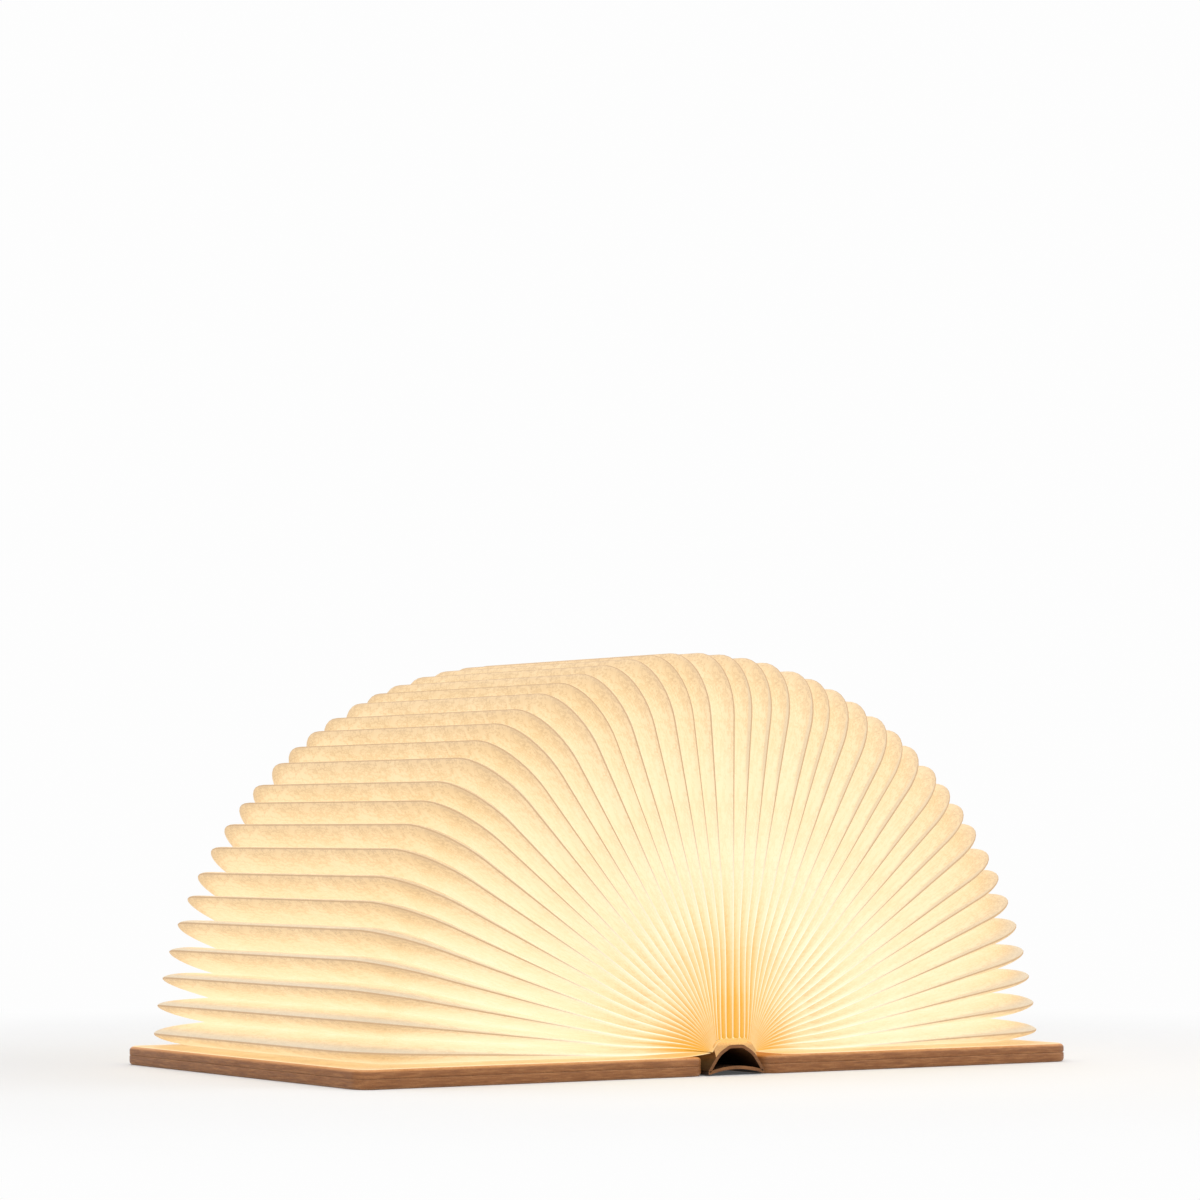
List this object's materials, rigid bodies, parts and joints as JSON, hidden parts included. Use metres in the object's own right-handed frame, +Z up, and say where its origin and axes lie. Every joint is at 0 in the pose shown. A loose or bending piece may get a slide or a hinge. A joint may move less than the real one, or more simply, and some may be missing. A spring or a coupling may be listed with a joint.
{
  "type": "folding book lamp",
  "caption": "Lamp shaped like a book: two wooden covers, an arched spine strip and a fan of pleated paper leaves lit from a core inside; folds shut like a book.",
  "frame": {"origin": "on the table, midway between the two covers and midway along the spine, with the lamp opened flat", "axes": "+X from the spine out over the right cover, +Y along the spine to the end with the charging socket, +Z up from the table"},
  "size_m": [0.37, 0.215, 0.1822],
  "materials": {
    "outer_wood": "oiled walnut, open grain",
    "inner_wood": "oiled walnut, open grain",
    "paper": "fibrous spun-bonded paper, lit from inside",
    "spine": "bent veneer on cloth",
    "rail": "satin, translucent amber",
    "housing": "moulded white",
    "diffuser": "frosted",
    "led_board": "white solder mask",
    "led": "phosphor under clear resin",
    "cell": "shrink sleeve",
    "circuit_board": "green solder mask",
    "socket": "nickel plated",
    "magnet": "nickel plated"
  },
  "bodies": {
    "core": {"spine_strip": "spine", "core_rail": "rail", "core_housing": "housing", "diffuser": "diffuser", "led_board": "led_board", "leds": "led", "battery_cell": "cell", "charge_board": "circuit_board", "usb_socket": "socket", "leaf_mid": "paper"},
    "right_cover": {"right_outer_board": "outer_wood", "right_inner_board": "inner_wood", "right_magnets": "magnet"},
    "left_cover": {"left_outer_board": "outer_wood", "left_inner_board": "inner_wood", "left_magnets": "magnet"},
    "leaf_l22": {"leaf_l22": "paper"},
    "leaf_l21": {"leaf_l21": "paper"},
    "leaf_l20": {"leaf_l20": "paper"},
    "leaf_l19": {"leaf_l19": "paper"},
    "leaf_l18": {"leaf_l18": "paper"},
    "leaf_l17": {"leaf_l17": "paper"},
    "leaf_l16": {"leaf_l16": "paper"},
    "leaf_l15": {"leaf_l15": "paper"},
    "leaf_l14": {"leaf_l14": "paper"},
    "leaf_l13": {"leaf_l13": "paper"},
    "leaf_l12": {"leaf_l12": "paper"},
    "leaf_l11": {"leaf_l11": "paper"},
    "leaf_l10": {"leaf_l10": "paper"},
    "leaf_l09": {"leaf_l09": "paper"},
    "leaf_l08": {"leaf_l08": "paper"},
    "leaf_l07": {"leaf_l07": "paper"},
    "leaf_l06": {"leaf_l06": "paper"},
    "leaf_l05": {"leaf_l05": "paper"},
    "leaf_l04": {"leaf_l04": "paper"},
    "leaf_l03": {"leaf_l03": "paper"},
    "leaf_l02": {"leaf_l02": "paper"},
    "leaf_l01": {"leaf_l01": "paper"},
    "leaf_r01": {"leaf_r01": "paper"},
    "leaf_r02": {"leaf_r02": "paper"},
    "leaf_r03": {"leaf_r03": "paper"},
    "leaf_r04": {"leaf_r04": "paper"},
    "leaf_r05": {"leaf_r05": "paper"},
    "leaf_r06": {"leaf_r06": "paper"},
    "leaf_r07": {"leaf_r07": "paper"},
    "leaf_r08": {"leaf_r08": "paper"},
    "leaf_r09": {"leaf_r09": "paper"},
    "leaf_r10": {"leaf_r10": "paper"},
    "leaf_r11": {"leaf_r11": "paper"},
    "leaf_r12": {"leaf_r12": "paper"},
    "leaf_r13": {"leaf_r13": "paper"},
    "leaf_r14": {"leaf_r14": "paper"},
    "leaf_r15": {"leaf_r15": "paper"},
    "leaf_r16": {"leaf_r16": "paper"},
    "leaf_r17": {"leaf_r17": "paper"},
    "leaf_r18": {"leaf_r18": "paper"},
    "leaf_r19": {"leaf_r19": "paper"},
    "leaf_r20": {"leaf_r20": "paper"},
    "leaf_r21": {"leaf_r21": "paper"},
    "leaf_r22": {"leaf_r22": "paper"}
  },
  "joints": [
    {"name": "right_cover_fold", "type": "hinge", "parent": "core", "child": "right_cover", "pos_m": [0.0125, 0, 0.0105], "axis": [0, -1, 0], "range_deg": [0, 90], "deforming": ["spine_strip", "leaf_mid"]},
    {"name": "left_cover_fold", "type": "hinge", "parent": "core", "child": "left_cover", "pos_m": [-0.0125, 0, 0.0105], "axis": [0, 1, 0], "range_deg": [0, 90]},
    {"name": "leaf_l22_turn", "type": "hinge", "parent": "core", "child": "leaf_l22", "pos_m": [-0.01247, 0, 0.01063], "axis": [0, 1, 0], "range_deg": [0, 88], "deforming": ["leaf_l22"]},
    {"name": "leaf_l21_turn", "type": "hinge", "parent": "core", "child": "leaf_l21", "pos_m": [-0.01198, 0, 0.01129], "axis": [0, 1, 0], "range_deg": [0, 84], "deforming": ["leaf_l21"]},
    {"name": "leaf_l20_turn", "type": "hinge", "parent": "core", "child": "leaf_l20", "pos_m": [-0.01145, 0, 0.01193], "axis": [0, 1, 0], "range_deg": [0, 80], "deforming": ["leaf_l20"]},
    {"name": "leaf_l19_turn", "type": "hinge", "parent": "core", "child": "leaf_l19", "pos_m": [-0.01091, 0, 0.01253], "axis": [0, 1, 0], "range_deg": [0, 76], "deforming": ["leaf_l19"]},
    {"name": "leaf_l18_turn", "type": "hinge", "parent": "core", "child": "leaf_l18", "pos_m": [-0.01034, 0, 0.0131], "axis": [0, 1, 0], "range_deg": [0, 72], "deforming": ["leaf_l18"]},
    {"name": "leaf_l17_turn", "type": "hinge", "parent": "core", "child": "leaf_l17", "pos_m": [-0.00977, 0, 0.01363], "axis": [0, 1, 0], "range_deg": [0, 68], "deforming": ["leaf_l17"]},
    {"name": "leaf_l16_turn", "type": "hinge", "parent": "core", "child": "leaf_l16", "pos_m": [-0.00919, 0, 0.01413], "axis": [0, 1, 0], "range_deg": [0, 64], "deforming": ["leaf_l16"]},
    {"name": "leaf_l15_turn", "type": "hinge", "parent": "core", "child": "leaf_l15", "pos_m": [-0.0086, 0, 0.01458], "axis": [0, 1, 0], "range_deg": [0, 60], "deforming": ["leaf_l15"]},
    {"name": "leaf_l14_turn", "type": "hinge", "parent": "core", "child": "leaf_l14", "pos_m": [-0.00802, 0, 0.01499], "axis": [0, 1, 0], "range_deg": [0, 56], "deforming": ["leaf_l14"]},
    {"name": "leaf_l13_turn", "type": "hinge", "parent": "core", "child": "leaf_l13", "pos_m": [-0.00743, 0, 0.01537], "axis": [0, 1, 0], "range_deg": [0, 52], "deforming": ["leaf_l13"]},
    {"name": "leaf_l12_turn", "type": "hinge", "parent": "core", "child": "leaf_l12", "pos_m": [-0.00685, 0, 0.01572], "axis": [0, 1, 0], "range_deg": [0, 48], "deforming": ["leaf_l12"]},
    {"name": "leaf_l11_turn", "type": "hinge", "parent": "core", "child": "leaf_l11", "pos_m": [-0.00626, 0, 0.01603], "axis": [0, 1, 0], "range_deg": [0, 44], "deforming": ["leaf_l11"]},
    {"name": "leaf_l10_turn", "type": "hinge", "parent": "core", "child": "leaf_l10", "pos_m": [-0.00568, 0, 0.0163], "axis": [0, 1, 0], "range_deg": [0, 40], "deforming": ["leaf_l10"]},
    {"name": "leaf_l09_turn", "type": "hinge", "parent": "core", "child": "leaf_l09", "pos_m": [-0.0051, 0, 0.01655], "axis": [0, 1, 0], "range_deg": [0, 36], "deforming": ["leaf_l09"]},
    {"name": "leaf_l08_turn", "type": "hinge", "parent": "core", "child": "leaf_l08", "pos_m": [-0.00453, 0, 0.01677], "axis": [0, 1, 0], "range_deg": [0, 32], "deforming": ["leaf_l08"]},
    {"name": "leaf_l07_turn", "type": "hinge", "parent": "core", "child": "leaf_l07", "pos_m": [-0.00396, 0, 0.01695], "axis": [0, 1, 0], "range_deg": [0, 28], "deforming": ["leaf_l07"]},
    {"name": "leaf_l06_turn", "type": "hinge", "parent": "core", "child": "leaf_l06", "pos_m": [-0.00339, 0, 0.01711], "axis": [0, 1, 0], "range_deg": [0, 24], "deforming": ["leaf_l06"]},
    {"name": "leaf_l05_turn", "type": "hinge", "parent": "core", "child": "leaf_l05", "pos_m": [-0.00282, 0, 0.01725], "axis": [0, 1, 0], "range_deg": [0, 20], "deforming": ["leaf_l05"]},
    {"name": "leaf_l04_turn", "type": "hinge", "parent": "core", "child": "leaf_l04", "pos_m": [-0.00225, 0, 0.01736], "axis": [0, 1, 0], "range_deg": [0, 16], "deforming": ["leaf_l04"]},
    {"name": "leaf_l03_turn", "type": "hinge", "parent": "core", "child": "leaf_l03", "pos_m": [-0.00169, 0, 0.01744], "axis": [0, 1, 0], "range_deg": [0, 12], "deforming": ["leaf_l03"]},
    {"name": "leaf_l02_turn", "type": "hinge", "parent": "core", "child": "leaf_l02", "pos_m": [-0.00112, 0, 0.0175], "axis": [0, 1, 0], "range_deg": [0, 8], "deforming": ["leaf_l02"]},
    {"name": "leaf_l01_turn", "type": "hinge", "parent": "core", "child": "leaf_l01", "pos_m": [-0.00056, 0, 0.01754], "axis": [0, 1, 0], "range_deg": [0, 4], "deforming": ["leaf_l01"]},
    {"name": "leaf_r01_turn", "type": "hinge", "parent": "core", "child": "leaf_r01", "pos_m": [0.00056, 0, 0.01754], "axis": [0, -1, 0], "range_deg": [0, 4], "deforming": ["leaf_r01"]},
    {"name": "leaf_r02_turn", "type": "hinge", "parent": "core", "child": "leaf_r02", "pos_m": [0.00112, 0, 0.0175], "axis": [0, -1, 0], "range_deg": [0, 8], "deforming": ["leaf_r02"]},
    {"name": "leaf_r03_turn", "type": "hinge", "parent": "core", "child": "leaf_r03", "pos_m": [0.00169, 0, 0.01744], "axis": [0, -1, 0], "range_deg": [0, 12], "deforming": ["leaf_r03"]},
    {"name": "leaf_r04_turn", "type": "hinge", "parent": "core", "child": "leaf_r04", "pos_m": [0.00225, 0, 0.01736], "axis": [0, -1, 0], "range_deg": [0, 16], "deforming": ["leaf_r04"]},
    {"name": "leaf_r05_turn", "type": "hinge", "parent": "core", "child": "leaf_r05", "pos_m": [0.00282, 0, 0.01725], "axis": [0, -1, 0], "range_deg": [0, 20], "deforming": ["leaf_r05"]},
    {"name": "leaf_r06_turn", "type": "hinge", "parent": "core", "child": "leaf_r06", "pos_m": [0.00339, 0, 0.01711], "axis": [0, -1, 0], "range_deg": [0, 24], "deforming": ["leaf_r06"]},
    {"name": "leaf_r07_turn", "type": "hinge", "parent": "core", "child": "leaf_r07", "pos_m": [0.00396, 0, 0.01695], "axis": [0, -1, 0], "range_deg": [0, 28], "deforming": ["leaf_r07"]},
    {"name": "leaf_r08_turn", "type": "hinge", "parent": "core", "child": "leaf_r08", "pos_m": [0.00453, 0, 0.01677], "axis": [0, -1, 0], "range_deg": [0, 32], "deforming": ["leaf_r08"]},
    {"name": "leaf_r09_turn", "type": "hinge", "parent": "core", "child": "leaf_r09", "pos_m": [0.0051, 0, 0.01655], "axis": [0, -1, 0], "range_deg": [0, 36], "deforming": ["leaf_r09"]},
    {"name": "leaf_r10_turn", "type": "hinge", "parent": "core", "child": "leaf_r10", "pos_m": [0.00568, 0, 0.0163], "axis": [0, -1, 0], "range_deg": [0, 40], "deforming": ["leaf_r10"]},
    {"name": "leaf_r11_turn", "type": "hinge", "parent": "core", "child": "leaf_r11", "pos_m": [0.00626, 0, 0.01603], "axis": [0, -1, 0], "range_deg": [0, 44], "deforming": ["leaf_r11"]},
    {"name": "leaf_r12_turn", "type": "hinge", "parent": "core", "child": "leaf_r12", "pos_m": [0.00685, 0, 0.01572], "axis": [0, -1, 0], "range_deg": [0, 48], "deforming": ["leaf_r12"]},
    {"name": "leaf_r13_turn", "type": "hinge", "parent": "core", "child": "leaf_r13", "pos_m": [0.00743, 0, 0.01537], "axis": [0, -1, 0], "range_deg": [0, 52], "deforming": ["leaf_r13"]},
    {"name": "leaf_r14_turn", "type": "hinge", "parent": "core", "child": "leaf_r14", "pos_m": [0.00802, 0, 0.01499], "axis": [0, -1, 0], "range_deg": [0, 56], "deforming": ["leaf_r14"]},
    {"name": "leaf_r15_turn", "type": "hinge", "parent": "core", "child": "leaf_r15", "pos_m": [0.0086, 0, 0.01458], "axis": [0, -1, 0], "range_deg": [0, 60], "deforming": ["leaf_r15"]},
    {"name": "leaf_r16_turn", "type": "hinge", "parent": "core", "child": "leaf_r16", "pos_m": [0.00919, 0, 0.01413], "axis": [0, -1, 0], "range_deg": [0, 64], "deforming": ["leaf_r16"]},
    {"name": "leaf_r17_turn", "type": "hinge", "parent": "core", "child": "leaf_r17", "pos_m": [0.00977, 0, 0.01363], "axis": [0, -1, 0], "range_deg": [0, 68], "deforming": ["leaf_r17"]},
    {"name": "leaf_r18_turn", "type": "hinge", "parent": "core", "child": "leaf_r18", "pos_m": [0.01034, 0, 0.0131], "axis": [0, -1, 0], "range_deg": [0, 72], "deforming": ["leaf_r18"]},
    {"name": "leaf_r19_turn", "type": "hinge", "parent": "core", "child": "leaf_r19", "pos_m": [0.01091, 0, 0.01253], "axis": [0, -1, 0], "range_deg": [0, 76], "deforming": ["leaf_r19"]},
    {"name": "leaf_r20_turn", "type": "hinge", "parent": "core", "child": "leaf_r20", "pos_m": [0.01145, 0, 0.01193], "axis": [0, -1, 0], "range_deg": [0, 80], "deforming": ["leaf_r20"]},
    {"name": "leaf_r21_turn", "type": "hinge", "parent": "core", "child": "leaf_r21", "pos_m": [0.01198, 0, 0.01129], "axis": [0, -1, 0], "range_deg": [0, 84], "deforming": ["leaf_r21"]},
    {"name": "leaf_r22_turn", "type": "hinge", "parent": "core", "child": "leaf_r22", "pos_m": [0.01247, 0, 0.01063], "axis": [0, -1, 0], "range_deg": [0, 88], "deforming": ["leaf_r22"]}
  ],
  "couplings": [
    {"joint": "left_cover_fold", "follows": "right_cover_fold", "ratio": 1},
    {"joint": "leaf_l22_turn", "follows": "right_cover_fold", "ratio": 0.97778},
    {"joint": "leaf_l21_turn", "follows": "right_cover_fold", "ratio": 0.93333},
    {"joint": "leaf_l20_turn", "follows": "right_cover_fold", "ratio": 0.88889},
    {"joint": "leaf_l19_turn", "follows": "right_cover_fold", "ratio": 0.84444},
    {"joint": "leaf_l18_turn", "follows": "right_cover_fold", "ratio": 0.8},
    {"joint": "leaf_l17_turn", "follows": "right_cover_fold", "ratio": 0.75556},
    {"joint": "leaf_l16_turn", "follows": "right_cover_fold", "ratio": 0.71111},
    {"joint": "leaf_l15_turn", "follows": "right_cover_fold", "ratio": 0.66667},
    {"joint": "leaf_l14_turn", "follows": "right_cover_fold", "ratio": 0.62222},
    {"joint": "leaf_l13_turn", "follows": "right_cover_fold", "ratio": 0.57778},
    {"joint": "leaf_l12_turn", "follows": "right_cover_fold", "ratio": 0.53333},
    {"joint": "leaf_l11_turn", "follows": "right_cover_fold", "ratio": 0.48889},
    {"joint": "leaf_l10_turn", "follows": "right_cover_fold", "ratio": 0.44444},
    {"joint": "leaf_l09_turn", "follows": "right_cover_fold", "ratio": 0.4},
    {"joint": "leaf_l08_turn", "follows": "right_cover_fold", "ratio": 0.35556},
    {"joint": "leaf_l07_turn", "follows": "right_cover_fold", "ratio": 0.31111},
    {"joint": "leaf_l06_turn", "follows": "right_cover_fold", "ratio": 0.26667},
    {"joint": "leaf_l05_turn", "follows": "right_cover_fold", "ratio": 0.22222},
    {"joint": "leaf_l04_turn", "follows": "right_cover_fold", "ratio": 0.17778},
    {"joint": "leaf_l03_turn", "follows": "right_cover_fold", "ratio": 0.13333},
    {"joint": "leaf_l02_turn", "follows": "right_cover_fold", "ratio": 0.088889},
    {"joint": "leaf_l01_turn", "follows": "right_cover_fold", "ratio": 0.044444},
    {"joint": "leaf_r01_turn", "follows": "right_cover_fold", "ratio": 0.044444},
    {"joint": "leaf_r02_turn", "follows": "right_cover_fold", "ratio": 0.088889},
    {"joint": "leaf_r03_turn", "follows": "right_cover_fold", "ratio": 0.13333},
    {"joint": "leaf_r04_turn", "follows": "right_cover_fold", "ratio": 0.17778},
    {"joint": "leaf_r05_turn", "follows": "right_cover_fold", "ratio": 0.22222},
    {"joint": "leaf_r06_turn", "follows": "right_cover_fold", "ratio": 0.26667},
    {"joint": "leaf_r07_turn", "follows": "right_cover_fold", "ratio": 0.31111},
    {"joint": "leaf_r08_turn", "follows": "right_cover_fold", "ratio": 0.35556},
    {"joint": "leaf_r09_turn", "follows": "right_cover_fold", "ratio": 0.4},
    {"joint": "leaf_r10_turn", "follows": "right_cover_fold", "ratio": 0.44444},
    {"joint": "leaf_r11_turn", "follows": "right_cover_fold", "ratio": 0.48889},
    {"joint": "leaf_r12_turn", "follows": "right_cover_fold", "ratio": 0.53333},
    {"joint": "leaf_r13_turn", "follows": "right_cover_fold", "ratio": 0.57778},
    {"joint": "leaf_r14_turn", "follows": "right_cover_fold", "ratio": 0.62222},
    {"joint": "leaf_r15_turn", "follows": "right_cover_fold", "ratio": 0.66667},
    {"joint": "leaf_r16_turn", "follows": "right_cover_fold", "ratio": 0.71111},
    {"joint": "leaf_r17_turn", "follows": "right_cover_fold", "ratio": 0.75556},
    {"joint": "leaf_r18_turn", "follows": "right_cover_fold", "ratio": 0.8},
    {"joint": "leaf_r19_turn", "follows": "right_cover_fold", "ratio": 0.84444},
    {"joint": "leaf_r20_turn", "follows": "right_cover_fold", "ratio": 0.88889},
    {"joint": "leaf_r21_turn", "follows": "right_cover_fold", "ratio": 0.93333},
    {"joint": "leaf_r22_turn", "follows": "right_cover_fold", "ratio": 0.97778}
  ]
}
